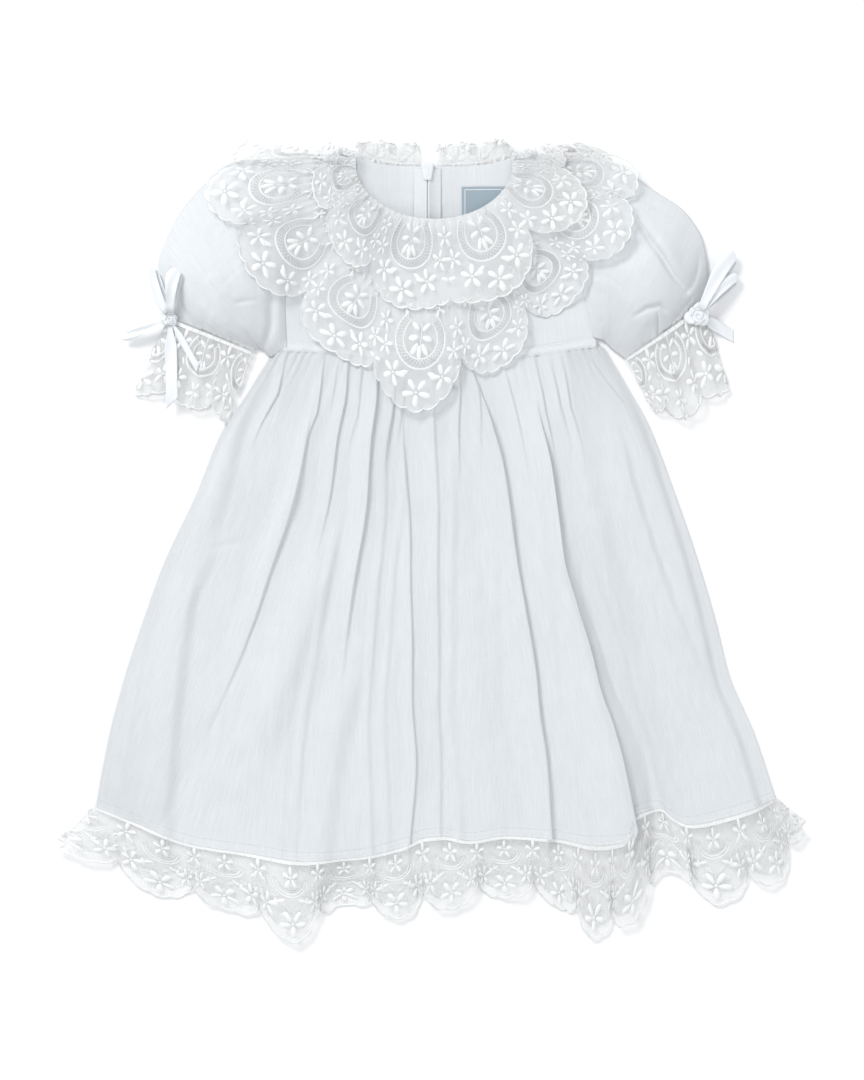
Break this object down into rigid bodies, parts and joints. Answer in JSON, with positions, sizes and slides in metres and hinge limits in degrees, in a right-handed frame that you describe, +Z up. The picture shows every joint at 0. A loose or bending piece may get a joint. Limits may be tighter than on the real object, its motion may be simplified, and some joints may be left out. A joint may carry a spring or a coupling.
{
  "type": "child's dress",
  "caption": "Small child's white linen dress laid flat, with a two-tier scalloped lace collar, puff sleeves with lace cuffs and ribbon bows, a gathered skirt and a lace hem.",
  "frame": {"origin": "middle of the bounding box's base, on the surface that the dress lies on", "axes": "+Y from the hem to the neck, +Z up from the surface, out of the dress's front, +X to the viewer's right"},
  "size_m": [0.5972, 0.6435, 0.0249],
  "materials": {
    "linen": "plain-woven white linen with slubs, matt",
    "lace": "white embroidered net with corded edge",
    "ribbon": "white satin ribbon, soft sheen",
    "zip_tape": "white woven zip tape with nylon coil",
    "zip_metal": "white enamelled zip slider and pull",
    "label": "blue-grey woven label, bare"
  },
  "bodies": {
    "dress": {"skirt_front": "linen", "skirt_back": "linen", "waistband": "linen", "bodice_front": "linen", "bodice_back_left": "linen", "bodice_back_right": "linen", "sleeve_left": "linen", "sleeve_right": "linen", "cuff_lace_left": "lace", "cuff_lace_right": "lace", "collar_upper": "lace", "collar_lower": "lace", "collar_back_left": "lace", "collar_back_right": "lace", "hem_lace_front": "lace", "hem_lace_back": "lace", "ribbon_loop_left_upper": "ribbon", "ribbon_loop_left_inner": "ribbon", "ribbon_loop_left_outer": "ribbon", "ribbon_loop_right_upper": "ribbon", "ribbon_loop_right_lower": "ribbon", "ribbon_tail_left_long": "ribbon", "ribbon_tail_left_short": "ribbon", "ribbon_tail_right": "ribbon", "rosette_left": "ribbon", "rosette_right": "ribbon", "zip_tape": "zip_tape", "zip_slider": "zip_metal", "label": "label"},
    "zip_pull": {"zip_pull": "zip_metal"}
  },
  "joints": [
    {"name": "zip_pull_swing", "type": "hinge", "parent": "dress", "child": "zip_pull", "pos_m": [-0.0036, 0.297, 0.0014], "axis": [1, 0, 0], "range_deg": [0, 150]}
  ]
}
